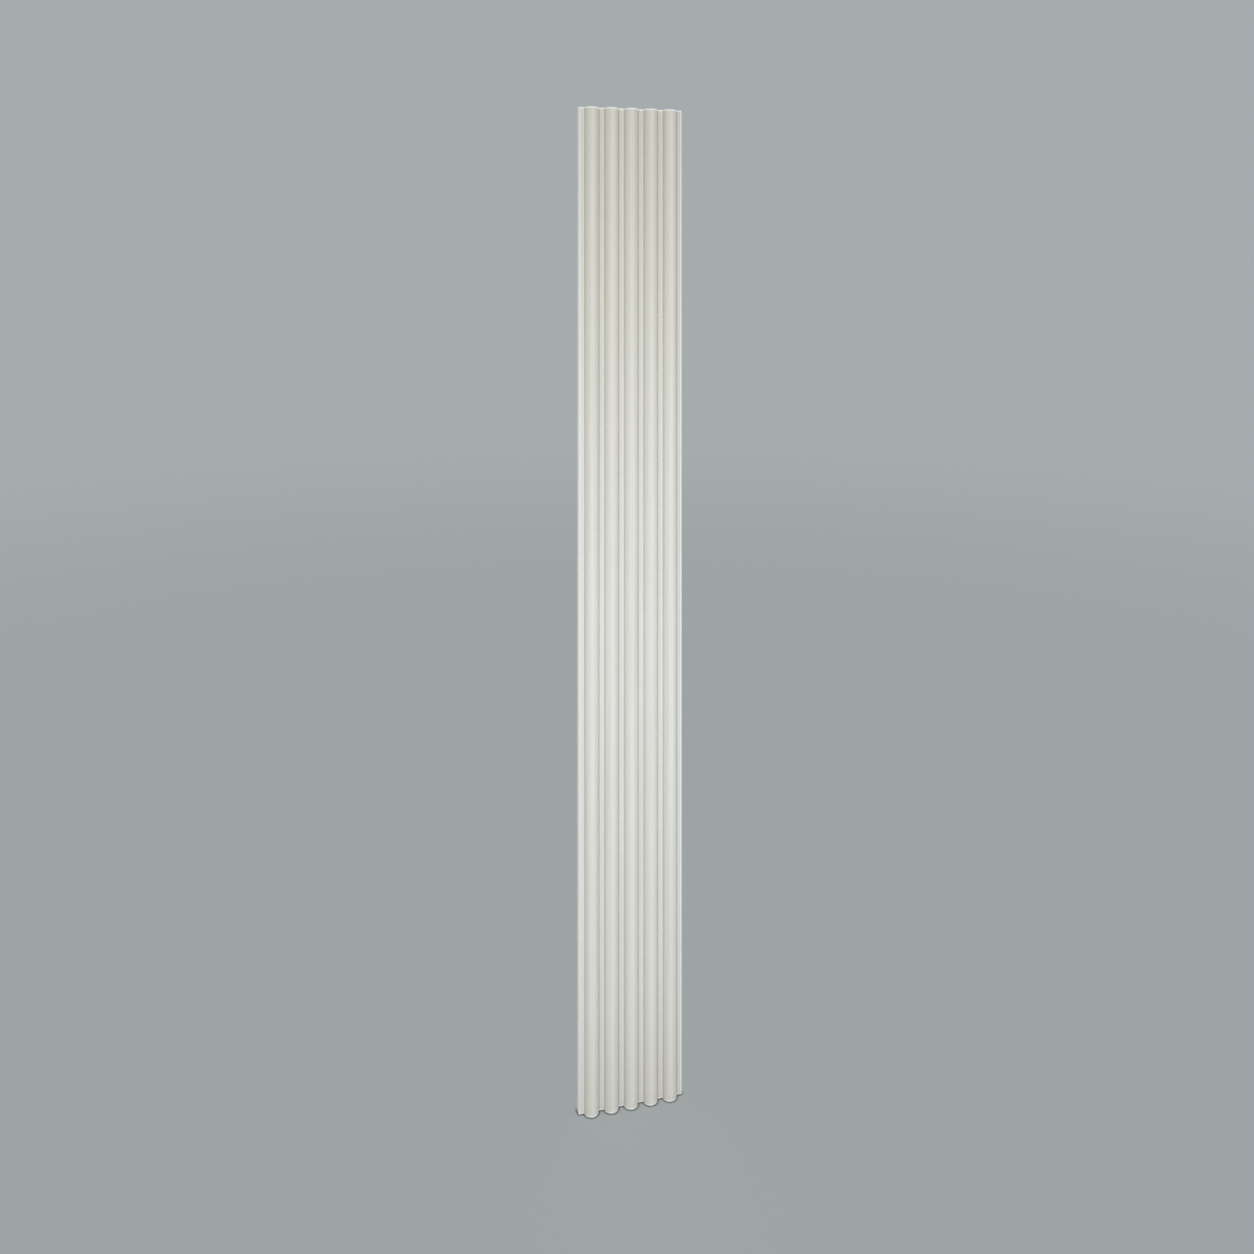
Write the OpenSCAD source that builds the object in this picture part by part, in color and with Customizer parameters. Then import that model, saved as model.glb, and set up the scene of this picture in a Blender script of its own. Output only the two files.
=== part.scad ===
// Reeded pilaster shaft, cast in one piece of gypsum plaster.
//
// The shaft stands upright with its flat back to the wall. X runs across its face, Z runs up it,
// and the reeded face looks towards -Y. The origin is the bottom middle of the back.
// Its section is a plain board with half-round reeds, and the same flat fillet on each side of
// every reed. Both ends are cut square, to butt on a plinth block below and a capital above.

/* [Board] */
// Height of the shaft between its two square-cut ends
shaft_h = 2134; // [600:1:3000]
// Width of the shaft across its face
shaft_w = 229; // [185:1:400]
// Thickness of the board, from the wall to the flat fillets
board_t = 19; // [10:0.5:40]
// Width of the bevel that eases the two long front edges of the board
arris = 1; // [0.2:0.1:2]

/* [Reeds] */
// Number of half-round reeds
reed_count = 5; // [1:1:7]
// Width of one reed, which stands out of the board by half as much
reed_w = 31; // [12:0.5:38]

/* [Hidden] */
// The reeds leave this much of the width over, shared out evenly as flat fillets
fillet_w = (shaft_w - reed_count * reed_w) / (reed_count + 1);
// Centre of one reed to the centre of the next
reed_pitch = reed_w + fillet_w;
// Depth to which a reed's section runs into the board, so that the two are one solid
reed_root = board_t / 2;
plaster_white = "#DDDED8";
$fn = 96;

// Section of the board: square at the back, with both front edges eased
module board_section() {
    half_w = shaft_w / 2;
    polygon([
        [-half_w, 0],
        [-half_w, -board_t + arris],
        [-half_w + arris, -board_t],
        [half_w - arris, -board_t],
        [half_w, -board_t + arris],
        [half_w, 0]
    ]);
}

// Section of one reed, centred on the face of the board: a half circle and its root
module reed_section() {
    intersection() {
        circle(d = reed_w);
        translate([-reed_w, -reed_w]) square([2 * reed_w, reed_w + reed_root]);
    }
}

// The whole section: the reeds stand side by side, a pitch apart, about the middle of the board
module shaft_section() {
    board_section();
    for (i = [0:reed_count - 1])
        translate([(i - (reed_count - 1) / 2) * reed_pitch, -board_t]) reed_section();
}

module shaft() {
    color(plaster_white) linear_extrude(shaft_h) shaft_section();
}

shaft();
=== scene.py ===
# %% [markdown]
# # A reeded pilaster shaft in cast gypsum plaster
#
# A pilaster is a flat column that stands against a wall. This is its shaft: a plain board with
# five half-round reeds down its face, cut square at both ends, so that a plinth block can be set
# under it and a capital on top. It is one piece of plaster.
#
# The imported model already holds the shaft at its true size. This lesson gives it the surface of
# the real thing: softened arrises, creases that are a little filled, the long drag lines of the
# moulding that it was cast from, a rough back, and a finish that has yellowed a little with age.
# Some light and shade is painted into that finish too: shade in the creases and towards both
# ends, and highlights on the crowns, beside the creases and on the sides.

# %% Load the frame
import math

import bpy
import mathutils
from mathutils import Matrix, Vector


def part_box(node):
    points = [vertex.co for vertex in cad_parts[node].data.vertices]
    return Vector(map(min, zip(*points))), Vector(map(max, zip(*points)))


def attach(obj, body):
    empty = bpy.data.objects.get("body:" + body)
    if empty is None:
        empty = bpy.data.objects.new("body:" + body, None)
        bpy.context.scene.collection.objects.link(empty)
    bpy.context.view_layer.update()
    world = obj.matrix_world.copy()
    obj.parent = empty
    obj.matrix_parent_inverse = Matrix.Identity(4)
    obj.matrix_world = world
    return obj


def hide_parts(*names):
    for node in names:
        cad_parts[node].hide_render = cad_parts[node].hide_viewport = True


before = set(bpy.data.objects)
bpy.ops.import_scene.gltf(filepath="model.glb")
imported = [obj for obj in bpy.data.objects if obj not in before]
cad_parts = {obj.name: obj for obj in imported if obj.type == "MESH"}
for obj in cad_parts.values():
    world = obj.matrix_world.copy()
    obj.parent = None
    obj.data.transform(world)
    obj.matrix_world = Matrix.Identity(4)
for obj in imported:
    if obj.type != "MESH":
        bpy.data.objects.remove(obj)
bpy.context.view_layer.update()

# %% [markdown]
# ## The sizes
#
# The shaft's height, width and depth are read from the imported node, so that the finish always
# fits it. Its box can't give the reeds, so their width and number are stated here. The rest
# follows: a half-round reed stands out of the board by half its own width, and what the reeds
# leave over of the width is shared out evenly as flat fillets.

# %% Work out the sizes in metres
MM = 0.001
REED_WIDTH = 31 * MM
REED_COUNT = 5

lowest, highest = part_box("shaft")
width = highest.x - lowest.x
height = highest.z - lowest.z
depth = highest.y - lowest.y
board = depth - REED_WIDTH / 2
fillet = (width - REED_COUNT * REED_WIDTH) / (REED_COUNT + 1)
pitch = REED_WIDTH + fillet
first_reed_x = -(REED_COUNT - 1) / 2 * pitch
print(f"shaft {width:.3f} x {depth:.4f} x {height:.3f} m, board {board:.4f} m thick")
print(f"fillets {fillet:.4f} m wide, one reed every {pitch:.4f} m from x = {first_reed_x:.4f} m")

# %% [markdown]
# ## One helper for nodes
#
# Everything below is built from nodes: the shape in Geometry Nodes, the finish in shader nodes.
# Adding a node by hand takes a line for each setting and each link. One small function takes them
# all at once, so that a step reads as one line.


# %% Add a node with its settings and links
def add(tree, kind, inputs=(), **settings):
    """Adds a node. inputs is a list in socket order, or a dict by socket identifier or name.

    A plain value is set on the socket. A socket is linked, and a node stands for its first
    working output. None leaves an input alone.
    """
    node = tree.nodes.new(kind)
    for name, value in settings.items():
        setattr(node, name, value)
    if isinstance(inputs, dict):
        sockets = {socket.name: socket for socket in reversed(node.inputs)}
        sockets.update({socket.identifier: socket for socket in node.inputs})
        pairs = [(sockets[key], value) for key, value in inputs.items()]
    else:
        pairs = zip(node.inputs, inputs)
    for socket, value in pairs:
        if isinstance(value, bpy.types.Node):
            value = next(output for output in value.outputs if output.enabled)
        if isinstance(value, bpy.types.NodeSocket):
            tree.links.new(value, socket)
        elif value is not None:
            socket.default_value = value
    return node


# %% [markdown]
# ## Trees with named inputs
#
# A Geometry Nodes tree is a small machine: sizes go in, a mesh comes out. Each tree here gets a
# named input for each size it needs, and a modifier sets them before the object is looked at for
# the first time.


# %% Start a geometry tree
def start_tree(name, sizes):
    """Makes a tree with a mesh in, a mesh out and the named inputs. Gives it and its inputs."""
    tree = bpy.data.node_groups.new(name, "GeometryNodeTree")
    tree.interface.new_socket("Mesh", in_out="INPUT", socket_type="NodeSocketGeometry")
    tree.interface.new_socket("Mesh", in_out="OUTPUT", socket_type="NodeSocketGeometry")
    for label, kind in sizes.items():
        tree.interface.new_socket(label, in_out="INPUT", socket_type="NodeSocket" + kind)
    add(tree, "NodeGroupOutput")
    return tree, add(tree, "NodeGroupInput").outputs


def end_tree(tree, mesh):
    """Makes every instance real, sets the tree's own material and links the mesh to the output."""
    material = next(node for node in tree.nodes if node.type == "GROUP_INPUT").outputs["Plaster"]
    real = add(tree, "GeometryNodeRealizeInstances", [mesh])
    painted = add(tree, "GeometryNodeSetMaterial", {"Geometry": real, "Material": material})
    end = next(node for node in tree.nodes if node.type == "GROUP_OUTPUT")
    tree.links.new(painted.outputs[0], end.inputs[0])
    print(tree.name + ":", len(tree.nodes), "nodes")


def add_tree(piece, tree, values):
    """Puts the tree on the piece as a modifier, with each named input set by its identifier."""
    modifier = piece.modifiers.new(tree.name, "NODES")
    modifier.node_group = tree
    for item in tree.interface.items_tree:
        if item.name in values:
            modifier[item.identifier] = values[item.name]


# %% [markdown]
# ## The run: one section, all the way up
#
# The pattern for such a casting is run: a plasterer pushes a template of sheet zinc along a bed
# of wet plaster, so every slice of it is the same. A mould is taken off the pattern, and the
# shaft is cast in the mould. It could be modelled as a row of half cylinders on a board, but then
# the creases would be cuts between two shapes and couldn't be rounded. Here the whole section is
# one closed outline that is swept up a straight rail, as the template was pushed.
#
# The reeds are one arc, repeated along a line of points. The corners of the board come from a
# rectangle. All the points are then put in order round the section: left to right across the
# front, then right to left across the back.


# %% Repeat one reed across the face
def reed_points(tree, size):
    """Points of every reed's arc, a pitch apart, standing on the face of the board."""
    start = add(
        tree,
        "ShaderNodeCombineXYZ",
        [size["First reed"], add(tree, "ShaderNodeMath", [size["Board"], -1.0], operation="MULTIPLY")],
    )
    step = add(tree, "ShaderNodeCombineXYZ", [size["Pitch"]])
    middles = add(
        tree, "GeometryNodeMeshLine", {"Count": size["Reeds"], "Start Location": start, "Offset": step}
    )
    half_round = add(
        tree,
        "GeometryNodeCurveArc",
        {
            "Resolution": size["Reed steps"],
            "Radius": add(tree, "ShaderNodeMath", [size["Reed width"], 0.5], operation="MULTIPLY"),
            "Start Angle": math.pi,
            "Sweep Angle": math.pi,
        },
        mode="RADIUS",
    )
    reeds = add(tree, "GeometryNodeInstanceOnPoints", {"Points": middles, "Instance": half_round})
    real = add(tree, "GeometryNodeRealizeInstances", [reeds])
    return add(tree, "GeometryNodeCurveToPoints", [real], mode="EVALUATED").outputs["Points"]


# %% Put the points in order and close the outline
def section_outline(tree, size):
    """The closed outline of the section, lying flat, with its back on the X axis."""
    rectangle = add(
        tree,
        "GeometryNodeCurvePrimitiveQuadrilateral",
        {"Width": size["Width"], "Height": size["Board"]},
    )
    middle_y = add(tree, "ShaderNodeMath", [size["Board"], -0.5], operation="MULTIPLY")
    shift = add(tree, "ShaderNodeCombineXYZ", [None, middle_y])
    placed = add(tree, "GeometryNodeSetPosition", {"Geometry": rectangle, "Offset": shift})
    corners = add(tree, "GeometryNodeCurveToPoints", [placed], mode="EVALUATED")
    points = add(tree, "GeometryNodeJoinGeometry")
    tree.links.new(corners.outputs["Points"], points.inputs[0])
    tree.links.new(reed_points(tree, size), points.inputs[0])

    place = add(tree, "ShaderNodeSeparateXYZ", [add(tree, "GeometryNodeInputPosition")])
    at_back = add(
        tree, "FunctionNodeCompare", {"A": place.outputs["Y"], "B": middle_y}, operation="GREATER_THAN"
    )
    past_front = add(tree, "ShaderNodeMath", [size["Width"], 2.0], operation="MULTIPLY")
    from_right = add(tree, "ShaderNodeMath", [past_front, place.outputs["X"]], operation="SUBTRACT")
    order = add(
        tree,
        "GeometryNodeSwitch",
        {"Switch": at_back, "False": place.outputs["X"], "True": from_right},
        input_type="FLOAT",
    )
    line = add(tree, "GeometryNodePointsToCurves", {"Points": points, "Weight": order})
    return add(tree, "GeometryNodeSetSplineCyclic", {"Geometry": line, "Cyclic": True})


# %% [markdown]
# The flat stretches still have one long edge each, which can't take any unevenness. Each edge
# is cut into as many parts as its own length asks for, so that the mesh is about as fine on a
# fillet and on the back as it is on a reed.


# %% Cut the long edges into even parts
def even_outline(tree, outline, cell):
    """The outline with every edge cut into parts of about the given length."""
    here = add(tree, "GeometryNodeInputPosition")
    next_point = add(tree, "GeometryNodeOffsetPointInCurve", {"Offset": 1}).outputs["Point Index"]
    there = add(
        tree, "GeometryNodeFieldAtIndex", {"Value": here, "Index": next_point}, data_type="FLOAT_VECTOR"
    )
    length = add(tree, "ShaderNodeVectorMath", [here, there], operation="DISTANCE")
    cuts = add(tree, "ShaderNodeMath", [length.outputs["Value"], cell], operation="DIVIDE")
    return add(tree, "GeometryNodeSubdivideCurve", {"Curve": outline, "Cuts": cuts})


# %% Sweep the outline up the rail
run_tree, size = start_tree(
    "Run the moulding",
    {
        "Height": "Float",
        "Width": "Float",
        "Board": "Float",
        "Reed width": "Float",
        "Reeds": "Int",
        "First reed": "Float",
        "Pitch": "Float",
        "Reed steps": "Int",
        "Cell": "Float",
        "Courses": "Int",
        "Plaster": "Material",
    },
)
outline = even_outline(run_tree, section_outline(run_tree, size), size["Cell"])
rail_top = add(run_tree, "ShaderNodeCombineXYZ", [None, None, size["Height"]])
rail = add(run_tree, "GeometryNodeCurvePrimitiveLine", {"End": rail_top})
rail_steps = add(run_tree, "GeometryNodeResampleCurve", {"Curve": rail, "Count": size["Courses"]})
swept = add(
    run_tree,
    "GeometryNodeCurveToMesh",
    {"Curve": rail_steps, "Profile Curve": outline, "Fill Caps": True},
)
end_tree(run_tree, swept)

# %% [markdown]
# ## The hand finish
#
# Every slice of the run is now perfect, and real plaster isn't. The template was worn and rode
# over grit, so the pattern, and every cast from it, has fine drag lines all the way up. The bed
# was trowelled by hand, so the face rises and falls a little. The arrises are rubbed and nicked
# by handling, and the back is only struck off with a straightedge, which leaves ripples.
#
# All of this is small offsets along the surface's own normal, so one tree can do it: each kind of
# unevenness is a noise, stretched to the shape of its cause. The sizes are in metres. Every
# offset goes inwards, so that the shaft never grows past its true size.
#
# Nicks belong on the arrises alone. The angle between neighbouring faces finds them: averaged
# over the edges at a point, it is large there, small on the round of a reed and negative in a
# crease. It has to be measured before anything moves, so it is captured on the points first.

# %% Choose which angles are an arris
# A reed turns 7.5 degrees at its long edges and none at its short ones, so 3.75 on average.
MORE_THAN_A_REED = math.radians(4.5)
SURELY_ARRIS = math.radians(7)
print(f"an arris turns by over {math.degrees(MORE_THAN_A_REED):.1f} degrees on average")


# %% Find the arrises
def find_arrises(tree, mesh):
    """Captures on each point how far it is an arris, from 0 to 1, and gives the mesh and that."""
    arris = add(
        tree,
        "ShaderNodeMapRange",
        {
            "Value": add(tree, "GeometryNodeInputMeshEdgeAngle").outputs["Signed Angle"],
            "From Min": MORE_THAN_A_REED,
            "From Max": SURELY_ARRIS,
        },
    )
    captured = add(tree, "GeometryNodeCaptureAttribute", {"Geometry": mesh}, domain="POINT")
    captured.capture_items.new("FLOAT", "arris")
    tree.links.new(arris.outputs[0], captured.inputs["arris"])
    return captured.outputs["Geometry"], captured.outputs["arris"]


# %% Give one kind of unevenness
def unevenness(tree, across, along, seed, detail=2.0):
    """A noise from 0 to 1 whose patches are about that size across the shaft and along it."""
    stretched = add(
        tree,
        "ShaderNodeVectorMath",
        [add(tree, "GeometryNodeInputPosition"), (1 / across, 1 / across, 1 / along)],
        operation="MULTIPLY",
    )
    return add(
        tree,
        "ShaderNodeTexNoise",
        {"Vector": stretched, "W": seed, "Scale": 1.0, "Detail": detail},
        noise_dimensions="4D",
    )


# %% Name the sizes of the hand finish
hand_tree, size = start_tree(
    "Finish by hand",
    {
        "Trowelling": "Float",
        "Drag lines": "Float",
        "Nicks": "Float",
        "Back": "Float",
        "Seed": "Float",
        "Plaster": "Material",
    },
)
marked, on_arris = find_arrises(hand_tree, size["Mesh"])
print(hand_tree.name + ":", [socket.name for socket in size if socket.name])

# %% Make each kind of unevenness
seed = size["Seed"]
waves = unevenness(hand_tree, across=120 * MM, along=450 * MM, seed=seed)
drags = unevenness(hand_tree, across=5 * MM, along=900 * MM, seed=seed, detail=1.0)
knocks = unevenness(hand_tree, across=14 * MM, along=14 * MM, seed=seed)
chips = add(
    hand_tree, "ShaderNodeMapRange", {"Value": knocks, "From Min": 0.58, "From Max": 0.75}
)
normal = add(hand_tree, "GeometryNodeInputNormal")
facing_wall = add(
    hand_tree,
    "ShaderNodeMapRange",
    {
        "Value": add(hand_tree, "ShaderNodeSeparateXYZ", [normal]).outputs["Y"],
        "From Min": 0.8,
        "From Max": 1.0,
    },
)
strokes = unevenness(hand_tree, across=70 * MM, along=18 * MM, seed=seed)
ripples = add(
    hand_tree, "ShaderNodeMapRange", {"Value": strokes, "From Min": 0.3, "From Max": 0.7}
)
print(hand_tree.name + ":", len(hand_tree.nodes), "nodes so far")

# %% Push the surface in by their sum
amount = add(hand_tree, "ShaderNodeMath", [waves, size["Trowelling"]], operation="MULTIPLY")
for share, most, only_on in (
    (drags, size["Drag lines"], None),
    (chips, size["Nicks"], on_arris),
    (ripples, size["Back"], facing_wall),
):
    if only_on:
        share = add(hand_tree, "ShaderNodeMath", [share, only_on], operation="MULTIPLY")
    amount = add(hand_tree, "ShaderNodeMath", [share, most, amount], operation="MULTIPLY_ADD")
inwards = add(hand_tree, "ShaderNodeMath", [amount, -1.0], operation="MULTIPLY")
offset = add(hand_tree, "ShaderNodeVectorMath", {"Vector": normal, "Scale": inwards}, operation="SCALE")
moved = add(hand_tree, "GeometryNodeSetPosition", {"Geometry": marked, "Offset": offset})
smooth = add(hand_tree, "GeometryNodeSetShadeSmooth", {"Geometry": moved})
end_tree(hand_tree, smooth)

# %% [markdown]
# ## The finish: cast gypsum plaster
#
# Gypsum plaster is a soft white stone made of fine needles. It scatters light in every direction
# and has almost no shine, so the eye sees form and dirt rather than gloss. Fresh plaster is a
# cool white. As it ages it takes up smoke and dust: it yellows towards the top and near the
# floor, stays pale on the edges that hands and cloths rub, and collects grey in the creases.
# Here painted shade goes in with the yellow at the ends and the grey in the creases, and painted
# highlights go in with the pale on the crowns, the fillets and the sides.
#
# One flat colour would read as plastic. The finish is built up in thin layers instead, as age
# lays them on, with layers of painted shade and painted highlight among them: each is a colour,
# and a mask that says where it lies and how strongly. The helpers below turn a hex colour to
# linear light, and make a streaked noise of a real size, a mask, and one such layer.


# %% Turn a hex colour to linear light
def linear(hex_colour):
    """The linear RGBA of an sRGB colour written as six hex digits."""
    channels = [int(hex_colour[i : i + 2], 16) / 255 for i in (0, 2, 4)]
    return [c / 12.92 if c <= 0.04045 else ((c + 0.055) / 1.055) ** 2.4 for c in channels] + [1.0]


print("mid grey 808080 in linear light:", round(linear("808080")[0], 3))


# %% Start the plaster
plaster = bpy.data.materials.new("cast gypsum plaster")
plaster.use_nodes = True
shade = plaster.node_tree
shade.nodes.clear()
place = add(shade, "ShaderNodeTexCoord").outputs["Object"]
axis = add(shade, "ShaderNodeSeparateXYZ", [place]).outputs
print("started the material:", plaster.name)


# %% One streaked noise, at a real size
def pattern(across, along, detail=3.0, roughness=0.5):
    """A noise from 0 to 1 whose patches are about that size across the shaft and along it."""
    stretched = add(
        shade,
        "ShaderNodeMapping",
        {"Vector": place, "Scale": (1 / across, 1 / across, 1 / along)},
        vector_type="POINT",
    )
    return add(
        shade,
        "ShaderNodeTexNoise",
        {"Vector": stretched, "Scale": 1.0, "Detail": detail, "Roughness": roughness},
    )


# %% Where a layer lies, and how it is laid
def where(*limits):
    """How strong a layer is at each place, from 0 to 1: every limit multiplied together.

    A limit is a value, two places on its scale, and how strong the layer is at each.
    """
    strength = None
    for value, start, end, strength_at_start, strength_at_end in limits:
        limit = add(
            shade,
            "ShaderNodeMapRange",
            {
                "Value": value,
                "From Min": start,
                "From Max": end,
                "To Min": strength_at_start,
                "To Max": strength_at_end,
            },
            interpolation_type="SMOOTHSTEP",
        )
        if strength:
            strength = add(shade, "ShaderNodeMath", [strength, limit], operation="MULTIPLY")
        else:
            strength = limit
    return strength


def lay(colour, over, *limits):
    """Lays a colour over what is there, where the limits say."""
    return add(
        shade,
        "ShaderNodeMix",
        {"Factor_Float": where(*limits), "A_Color": over, "B_Color": colour},
        data_type="RGBA",
    )


# %% [markdown]
# ### Smoke, floor dust, painted shade at the ends, and streaks
#
# Smoke rises, so the old-paper yellow is strongest at the top, and a little stronger on the
# sheltered fillets than on the crowns of the reeds. Dust from the floor does the same, more
# weakly, over the lowest part. Both also stand in for light: they are painted shade where the
# light falls off towards the two ends. Washing and wiping run up and down, so they leave long
# thin streaks, some warm and some grey. Along the left edge the yellow is weaker, a painted
# highlight where the open edge takes more light. At the very foot there are small smudges
# from mops.

# %% The plaster, what age lays on it, and painted shade at the ends
PLASTER_WHITE = linear("E6E6E2")
OLD_PAPER_AND_SHADE = linear("DCD8CA")
FLOOR_DUST_AND_SHADE = linear("CFC9BB")
FLOOR_SMUDGE = linear("B3A996")
WARM_STREAK = linear("E5DDD6")
GREY_STREAK = linear("CDD0C9")

mottle = pattern(across=60 * MM, along=200 * MM, detail=4.0, roughness=0.6)
smudges = pattern(across=14 * MM, along=10 * MM, detail=4.0, roughness=0.6)
warm_streaks = pattern(across=7 * MM, along=260 * MM, detail=3.0)
grey_streaks = pattern(across=3.5 * MM, along=600 * MM, detail=2.0)

sheltered = (axis["Y"], -depth, -board, 0.75, 0.85)
smoke_and_shade_towards_top = (axis["Z"], 0.45 * height, height, 0.0, 0.95)
# Weaker yellow along the left edge: a painted highlight where the open edge catches more light.
left_edge_painted_light = (axis["X"], lowest.x + 3 * MM, lowest.x + 8 * MM, 0.6, 1.0)
dust_and_shade_towards_floor = (axis["Z"], 0.0, 0.45 * height, 0.2, 0.0)
dust_and_shade_at_foot = (axis["Z"], 0.0, 0.12 * height, 0.3, 0.0)
mopped = (axis["Z"], 0.0, 45 * MM, 0.3, 0.0)

# Yellow towards the top: smoke, and painted shade where the light falls off.
colour = lay(OLD_PAPER_AND_SHADE, PLASTER_WHITE, sheltered, smoke_and_shade_towards_top, left_edge_painted_light)
# Yellow and dust towards the foot: dust, and painted shade where the light falls off.
colour = lay(OLD_PAPER_AND_SHADE, colour, dust_and_shade_towards_floor)
colour = lay(FLOOR_DUST_AND_SHADE, colour, dust_and_shade_at_foot)
colour = lay(OLD_PAPER_AND_SHADE, colour, (mottle, 0.45, 0.75, 0.0, 0.15))
colour = lay(OLD_PAPER_AND_SHADE, colour, (smudges, 0.45, 0.75, 0.0, 0.15))
colour = lay(WARM_STREAK, colour, (warm_streaks, 0.45, 0.65, 0.0, 0.5))
colour = lay(GREY_STREAK, colour, (grey_streaks, 0.5, 0.7, 0.0, 0.4))
colour = lay(FLOOR_SMUDGE, colour, (smudges, 0.5, 0.7, 0.0, 1.0), mopped)
print("aged and shaded the plaster:", len(shade.nodes), "nodes so far")

# %% [markdown]
# ### Dust and painted shade in the creases, and pale edges
#
# These follow the section, so their masks are distances that the section's own sizes give: from
# the centre line of the nearest reed, from the middle of the face, and from the nearer end. The
# first wraps round from reed to reed, so that one mask serves all five, and it keeps its sign,
# because the two creases of a reed aren't alike. The grey in them is dust and painted shade, and
# the right one is darker: painted shadow that the reed casts on the fillet beside it. Beside each
# dark line is a pale line, a painted highlight where the open part of the fillet takes the light.
#
# The two sides, their arrises and both ends are rubbed pale by hands, cloths and brooms. The
# crowns of the reeds are paler too, partly rubbed and partly a painted highlight, and the sides
# are painted paler than the light leaves them. That paling is broken up a little by a fine
# noise, as no edge wears evenly.

# %% Measure from the reeds, the middle and the ends
from_first = add(shade, "ShaderNodeMath", [axis["X"], first_reed_x], operation="SUBTRACT")
from_reed = add(shade, "ShaderNodeMath", [from_first, pitch / 2, -pitch / 2], operation="WRAP")
from_middle = add(shade, "ShaderNodeMath", [axis["X"]], operation="ABSOLUTE")
from_end = add(shade, "ShaderNodeMath", [axis["Z"], height / 2], operation="PINGPONG")
crease = REED_WIDTH / 2
arris = width / 2
on_face = (axis["Y"], -board + 0.8 * MM, -board + 1.6 * MM, 1.0, 0.0)
between_arrises = (from_middle, arris - 4.5 * MM, arris - 3.5 * MM, 1.0, 0.0)
print(f"creases {crease:.4f} m to each side of a reed, arrises {arris:.4f} m from the middle")

# %% Fill the creases with dust and painted shade
CREASE_DUST_AND_SHADE = linear("A9A89E")

# Left crease: dust and painted shade in the crease and a little way up the reed's flank.
left_crease_dust_and_shade = (
    (from_reed, -crease - 0.2 * MM, -crease + 0.1 * MM, 0.0, 0.22),
    (from_reed, -crease + 0.3 * MM, -crease + 2.5 * MM, 1.0, 0.0),
)
# Right crease: painted shadow of the reed on the fillet, with dust; darker than the left.
right_crease_shadow_and_dust = (
    (from_reed, crease - 2.0 * MM, crease - 0.3 * MM, 0.0, 0.4),
    (from_reed, crease + 1.5 * MM, crease + 3.5 * MM, 1.0, 0.0),
)
for line in (left_crease_dust_and_shade, right_crease_shadow_and_dust):
    colour = lay(CREASE_DUST_AND_SHADE, colour, on_face, between_arrises, *line)
print("dusted and shaded the creases:", len(shade.nodes), "nodes so far")

# %% Rub the high places pale, and paint highlights on them
RUBBED_WHITE_AND_HIGHLIGHT = linear("FAFAF8")

wear = pattern(across=2.5 * MM, along=9 * MM, detail=3.0, roughness=0.6)
patchy_paling = (wear, 0.35, 0.6, 0.75, 1.0)
# Paler crowns: rubbing, and a painted highlight along each crown.
crown_rub_and_highlight = (axis["Y"], -depth + 0.3 * MM, -depth + 1.5 * MM, 0.22, 0.0)
near_arris = (from_middle, arris - 3.6 * MM, arris - 1.4 * MM, 0.0, 0.65)
near_end = (from_end, 2.8 * MM, 4.2 * MM, 1.0, 0.0)
# Pale lines on the fillets beside the creases: painted highlights.
highlight_past_right_crease = (
    (from_reed, crease + 3.0 * MM, crease + 4.0 * MM, 0.0, 0.22),
    (from_reed, crease + 5.5 * MM, crease + 7.0 * MM, 1.0, 0.0),
)
highlight_before_left_crease = (
    (from_reed, -crease - 4.0 * MM, -crease - 3.0 * MM, 0.0, 0.4),
    (from_reed, -crease - 0.5 * MM, -crease - 0.1 * MM, 1.0, 0.0),
)

colour = lay(RUBBED_WHITE_AND_HIGHLIGHT, colour, crown_rub_and_highlight)
for line in (highlight_past_right_crease, highlight_before_left_crease):
    colour = lay(RUBBED_WHITE_AND_HIGHLIGHT, colour, on_face, *line)
# Pale arrises and sides: rubbing, and on the sides painted light, paler than the lamps leave them.
colour = lay(RUBBED_WHITE_AND_HIGHLIGHT, colour, patchy_paling, near_arris)
colour = lay(RUBBED_WHITE_AND_HIGHLIGHT, colour, patchy_paling, near_end)
print("rubbed and highlit the high places:", len(shade.nodes), "nodes so far")

# %% [markdown]
# ### The raw back
#
# The back was never against the mould. It was struck off with a straightedge while the plaster
# was wet, which leaves ripples across it, and it took up the grey of the workshop.

# %% Leave the back raw
RAW_BACK = linear("D5D2C8")
STRUCK_GREY = linear("BDBAAF")

on_back = (axis["Y"], -3 * MM, -1.8 * MM, 0.0, 1.0)
strike_marks = pattern(across=70 * MM, along=22 * MM, detail=6.0, roughness=0.7)
colour = lay(RAW_BACK, colour, on_back)
colour = lay(STRUCK_GREY, colour, on_back, (strike_marks, 0.4, 0.7, 0.0, 0.5))
print("laid the raw back:", len(shade.nodes), "nodes so far")

# %% [markdown]
# ### Relief too fine for the mesh
#
# The mesh holds relief of a few millimetres and more. What is finer is added as height in
# metres, all in one sum: hairline drags, the grain of the plaster, and the straightedge's marks
# on the back. The real grain is a tenth of a millimetre. It is drawn at 1.5 mm, so that it shows.

# %% Add up the fine relief
DRAG_HEIGHT = 0.04 * MM
GRAIN_HEIGHT = 0.03 * MM
STRIKE_HEIGHT = 2.0 * MM

fine_drags = pattern(across=1.2 * MM, along=300 * MM, detail=2.0)
grain = pattern(across=1.5 * MM, along=1.5 * MM, detail=2.0)
back_marks = add(shade, "ShaderNodeMath", [strike_marks, where(on_back)], operation="MULTIPLY")

relief = add(shade, "ShaderNodeMath", [fine_drags, DRAG_HEIGHT], operation="MULTIPLY")
relief = add(shade, "ShaderNodeMath", [grain, GRAIN_HEIGHT, relief], operation="MULTIPLY_ADD")
relief = add(shade, "ShaderNodeMath", [back_marks, STRIKE_HEIGHT, relief], operation="MULTIPLY_ADD")
bump = add(shade, "ShaderNodeBump", {"Strength": 1.0, "Distance": 1.0, "Height": relief})
print("added the fine relief:", len(shade.nodes), "nodes so far")

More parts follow.
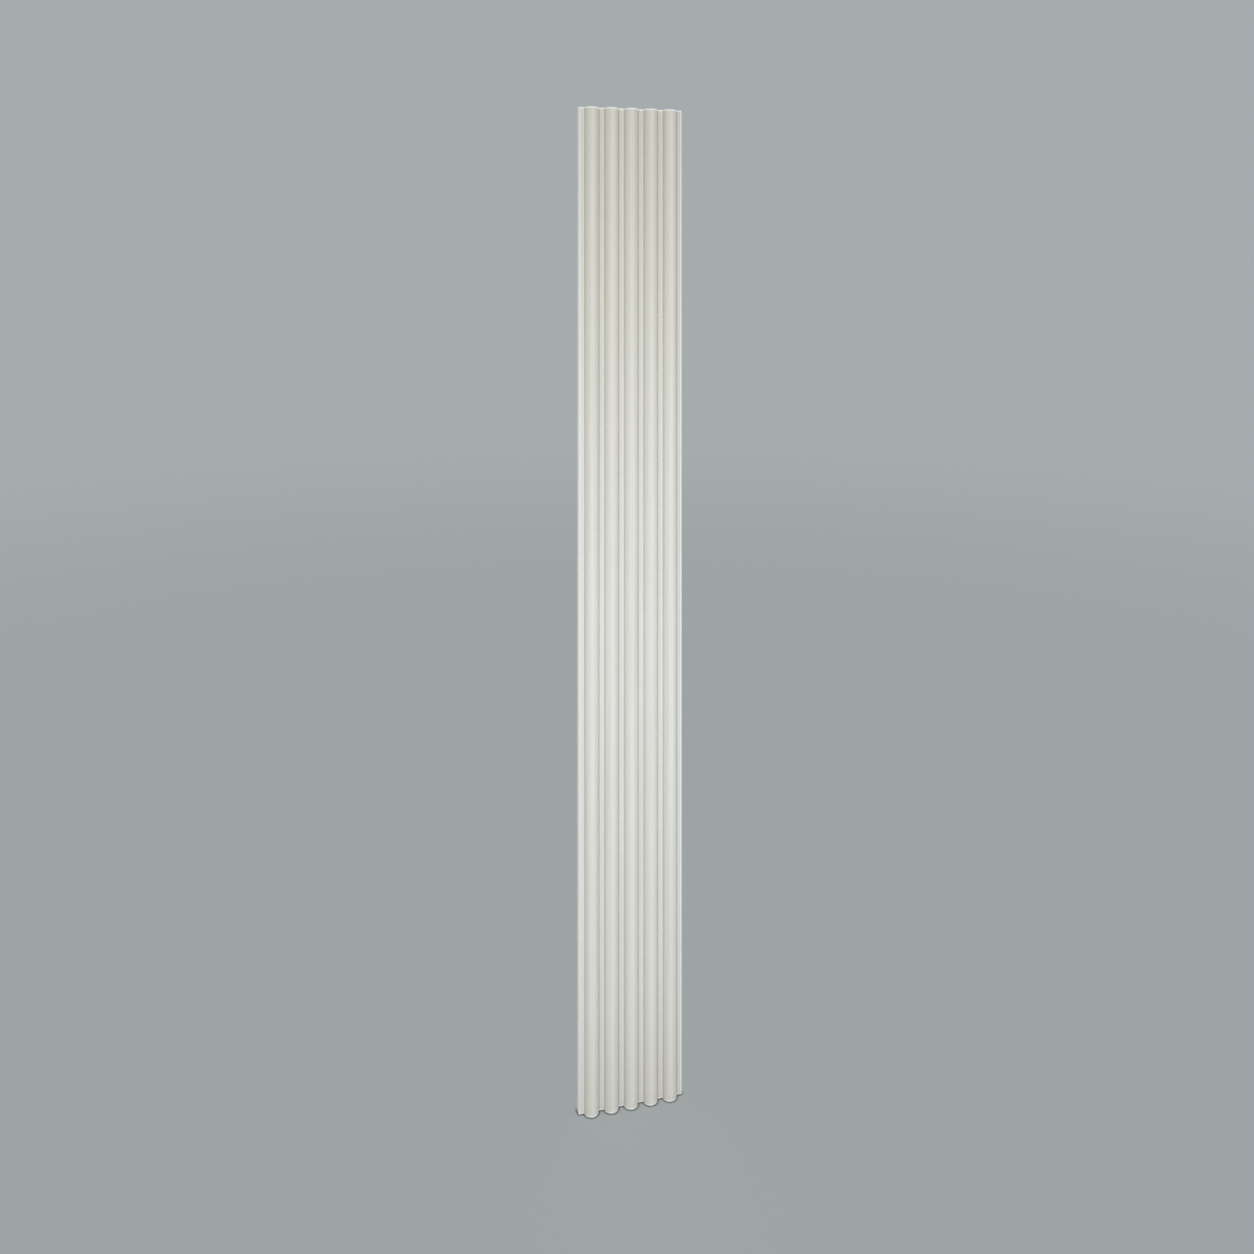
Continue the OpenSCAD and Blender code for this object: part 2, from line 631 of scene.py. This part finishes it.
# %% [markdown]
# ### The shader
#
# Plaster is a dielectric with an index near 1.5. It is so rough that its highlight is only a
# veil, and a rough diffuse keeps the round of a reed from going dark too early at its edges.
# Where the mottle is thick the skin is a little more matt.

# %% Join it all in the shader
MOST_POLISHED = 0.74
MOST_MATT = 0.9

roughness = add(
    shade, "ShaderNodeMapRange", {"Value": mottle, "To Min": MOST_POLISHED, "To Max": MOST_MATT}
)
skin = add(
    shade,
    "ShaderNodeBsdfPrincipled",
    {
        "Base Color": colour,
        "Roughness": roughness,
        "Diffuse Roughness": 0.25,
        "IOR": 1.5,
        "Specular IOR Level": 0.3,
        "Normal": bump,
    },
)
add(shade, "ShaderNodeOutputMaterial", {"Surface": skin})
print(plaster.name + ":", len(shade.nodes), "nodes")

# %% [markdown]
# ## Put the steps together
#
# The steps are stacked as modifiers on one object: the run, a Bevel that softens every arris and
# fills every crease, the hand finish, and Weighted Normal, which keeps the shading of the flats
# flat. The result is then turned into a plain mesh once, and the modifiers go.
#
# A cell of the mesh is about 4 mm across and 5 mm high, and 2 mm across on a reed. That carries
# the trowelling, the nicks, the ripples and all but the narrowest drags, and it stays within a
# budget of 200,000 triangles.

# %% Choose how fine the mesh is, and how strong the finish
REED_STEPS = 25
CELL = 4.2 * MM
COURSES = 400
ARRIS_RADIUS = 0.8 * MM
ARRIS_STEPS = 3
SHARP = math.radians(40)
FLATNESS_WEIGHT = 80
TROWELLING = 0.35 * MM
DRAG_LINES = 0.08 * MM
NICKS = 0.5 * MM
BACK_RIPPLES = 1.6 * MM
SEED = 7.0
print(f"one course every {height / (COURSES - 1) * 1000:.1f} mm, cells of about {CELL * 1000:.1f} mm")

# %% Start the stack with the run
shaft = bpy.data.objects.new("cast_shaft", bpy.data.meshes.new("cast_shaft"))
bpy.context.scene.collection.objects.link(shaft)
add_tree(
    shaft,
    run_tree,
    {
        "Height": height,
        "Width": width,
        "Board": board,
        "Reed width": REED_WIDTH,
        "Reeds": REED_COUNT,
        "First reed": first_reed_x,
        "Pitch": pitch,
        "Reed steps": REED_STEPS,
        "Cell": CELL,
        "Courses": COURSES,
        "Plaster": plaster,
    },
)
print("started", shaft.name, "with", shaft.modifiers[0].name)

# %% Add the bevel, the hand finish and the shading
soften = shaft.modifiers.new("Soften the arrises", "BEVEL")
soften.width = ARRIS_RADIUS
soften.segments = ARRIS_STEPS
soften.limit_method = "ANGLE"
soften.angle_limit = SHARP
add_tree(
    shaft,
    hand_tree,
    {
        "Trowelling": TROWELLING,
        "Drag lines": DRAG_LINES,
        "Nicks": NICKS,
        "Back": BACK_RIPPLES,
        "Seed": SEED,
        "Plaster": plaster,
    },
)
true_up = shaft.modifiers.new("Keep the flats flat", "WEIGHTED_NORMAL")
true_up.weight = FLATNESS_WEIGHT
true_up.keep_sharp = False
print("modifiers:", [modifier.name for modifier in shaft.modifiers])

# %% Turn the result into a plain mesh
made = shaft.evaluated_get(bpy.context.evaluated_depsgraph_get())
cast = bpy.data.meshes.new_from_object(made)
shaft.modifiers.clear()
shaft.data = cast
shaft.data.name = "cast_shaft"
triangles = sum(len(face.vertices) - 2 for face in cast.polygons)
print(f"cast_shaft: {len(cast.vertices)} points, {triangles} triangles")

# %% Tie it to the frame
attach(shaft, "root")
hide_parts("shaft")
print("cast_shaft rides on root and stands for the node shaft")

# %% [markdown]
# ## The floor
#
# The shaft stands on a plain pale floor, which fades out before its edge, so that it meets the
# studio's even grey without a line. The strong light on the shaft is thrown back at the floor and
# would stain it, so more than half of the floor's brightness is its own. An Ambient Occlusion
# node tells how open the floor is. Its square mixes black into the few millimetres next to the
# foot, a painted contact shadow, as the gap under a heavy thing is dark.

# %% Paint the floor
STUDIO_GREY = linear("A6ABAD")
FLOOR_WHITE = linear("F2F4F4")
FLOOR_OWN_LIGHT = 0.9
FLOOR_OWN_SHARE = 0.6
CRACK_SHADOW = 6 * MM

paint = bpy.data.materials.new("matt floor paint")
paint.use_nodes = True
floor_shade = paint.node_tree
floor_shade.nodes.clear()
matt = add(floor_shade, "ShaderNodeBsdfDiffuse", {"Color": FLOOR_WHITE})
own_light = add(floor_shade, "ShaderNodeEmission", {"Color": STUDIO_GREY, "Strength": FLOOR_OWN_LIGHT})
painted = add(floor_shade, "ShaderNodeMixShader", [FLOOR_OWN_SHARE, matt, own_light])

openness = add(floor_shade, "ShaderNodeAmbientOcclusion", {"Distance": CRACK_SHADOW}, samples=4)
open_floor = add(floor_shade, "ShaderNodeMath", [openness.outputs["AO"], 2.0], operation="POWER")
# Black, mixed in by the square of the openness: a painted contact shadow next to the foot.
painted_contact_shadow = add(floor_shade, "ShaderNodeBsdfDiffuse", {"Color": linear("000000")})
shadowed = add(floor_shade, "ShaderNodeMixShader", [open_floor, painted_contact_shadow, painted])
print("painted the floor:", len(floor_shade.nodes), "nodes so far")

# %% Fade the floor out
FADE_START = 3.0
FADE_END = 9.0

reach = add(
    floor_shade,
    "ShaderNodeVectorMath",
    [add(floor_shade, "ShaderNodeTexCoord").outputs["Object"]],
    operation="LENGTH",
)
fade = add(
    floor_shade,
    "ShaderNodeMapRange",
    {"Value": reach.outputs["Value"], "From Min": FADE_START, "From Max": FADE_END},
    interpolation_type="SMOOTHSTEP",
)
nothing = add(floor_shade, "ShaderNodeBsdfTransparent")
faded = add(floor_shade, "ShaderNodeMixShader", [fade, shadowed, nothing])
add(floor_shade, "ShaderNodeOutputMaterial", {"Surface": faded})
print(paint.name + ":", len(floor_shade.nodes), "nodes")

# %% Lay the floor
FLOOR_RADIUS = 12.0

bpy.ops.mesh.primitive_circle_add(
    vertices=64, radius=FLOOR_RADIUS, fill_type="NGON", location=(0, 0, lowest.z)
)
floor = bpy.context.object
floor.name = "studio_floor"
floor.data.materials.append(paint)
print(f"floor {2 * FLOOR_RADIUS:.0f} m across at z = {lowest.z:.4f} m")

# %% [markdown]
# ## The light
#
# Reeds are read by their shading, so the light has to be soft, and low enough in contrast that
# the creases stay open. The studio itself gives a little under half of it, evenly from all
# round. The rest is a wide panel in front, a little to the left and not quite as high as the
# shaft, so that the middle of the shaft is the brightest. A smaller panel behind and above rakes
# over the back and lights the top end. Neither panel lights the floor.

# %% Fill the studio with even light
world = bpy.data.worlds.new("studio")
world.use_nodes = True
world.node_tree.nodes["Background"].inputs["Color"].default_value = STUDIO_GREY
bpy.context.scene.world = world
bpy.context.scene.view_settings.view_transform = "Standard"
print("studio grey in linear light:", [round(c, 3) for c in STUDIO_GREY[:3]])


# %% Hang the panels
def soft_light(name, place, aim, across, up, watts, colour):
    """A soft panel of light at that place, turned towards the aim, that the camera doesn't see."""
    light = bpy.data.lights.new(name, "AREA")
    light.shape = "RECTANGLE"
    light.size = across
    light.size_y = up
    light.energy = watts
    light.color = colour[:3]
    lamp = bpy.data.objects.new(name, light)
    bpy.context.scene.collection.objects.link(lamp)
    lamp.location = place
    lamp.rotation_euler = (mathutils.Vector(aim) - lamp.location).to_track_quat("-Z", "Y").to_euler()
    lamp.visible_camera = False
    print(f"{name}: {across} x {up} m, {watts} W")
    return lamp


WARM_WHITE = linear("FFFEFC")
WHITE = linear("FFFFFF")
front_place = (-0.25, -2.0, 0.55 * height)
back_place = (1.0, 1.9, 1.35 * height)
middle = (0, 0, height / 2)
panels = [
    soft_light(
        "front wall of light", front_place, middle, across=4.2, up=1.6, watts=40, colour=WARM_WHITE
    ),
    soft_light("back light", back_place, middle, across=1.2, up=1.2, watts=60, colour=WHITE),
]

lit_by_panels = bpy.data.collections.new("lit by the panels")
lit_by_panels.objects.link(shaft)
for panel in panels:
    panel.light_linking.receiver_collection = lit_by_panels

# %% [markdown]
# ## The camera
#
# A tall thing that is taken from eye level with a camera held level keeps its uprights parallel.
# A camera that is tipped down would make the shaft narrower at the foot. So the camera here is
# level, a little over eye height and turned about 15 degrees to the right, and its lens is
# shifted down, as on a view camera, to bring the foot into the frame.

# %% Set the camera
LENS = 31.58
SENSOR = 36.0
TURN = math.radians(14.93)
EYE_HEIGHT = 1.790
STAND_OFF = 2.357
SIDESTEP = 0.0081
DROP = -0.2854

forward = mathutils.Vector((math.sin(TURN), math.cos(TURN), 0))
right = mathutils.Vector((math.cos(TURN), -math.sin(TURN), 0))
camera_data = bpy.data.cameras.new("studio camera")
camera_data.lens = LENS
camera_data.sensor_width = SENSOR
camera_data.shift_y = DROP
camera = bpy.data.objects.new("studio camera", camera_data)
bpy.context.scene.collection.objects.link(camera)
camera.location = (
    mathutils.Vector((0, -board, EYE_HEIGHT)) - right * SIDESTEP - forward * STAND_OFF
)
camera.rotation_euler = (math.radians(90), 0, -TURN)
bpy.context.scene.camera = camera
print("camera at", [round(c, 3) for c in camera.location])
